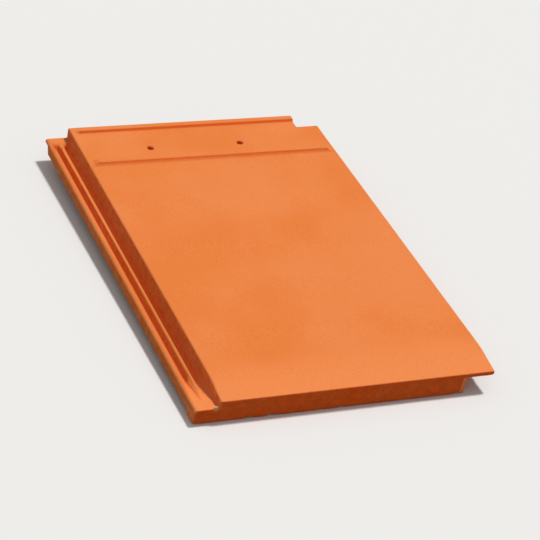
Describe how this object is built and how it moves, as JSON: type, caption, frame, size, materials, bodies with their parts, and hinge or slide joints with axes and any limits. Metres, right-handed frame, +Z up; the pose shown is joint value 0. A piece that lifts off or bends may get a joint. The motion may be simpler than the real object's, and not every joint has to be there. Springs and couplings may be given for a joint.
{
  "type": "clay roof tile",
  "caption": "Flat interlocking clay roof tile with a bevelled nose, a grooved side lock, a cover flange with ribs, and nibs that hook over a batten.",
  "frame": {"origin": "middle of the bounding box at floor level, under the tile as it lies on its nose and its nibs", "axes": "+Z up from the floor, +Y up the slope from the nose to the head, +X to the right seen from the nose, towards the cover flange"},
  "size_m": [0.2864, 0.44, 0.0374],
  "materials": {
    "fired_clay": "matt unglazed fired clay, smooth, softly mottled from orange to pale peach"
  },
  "bodies": {
    "root": {"roof_tile": "fired_clay"}
  },
  "joints": []
}
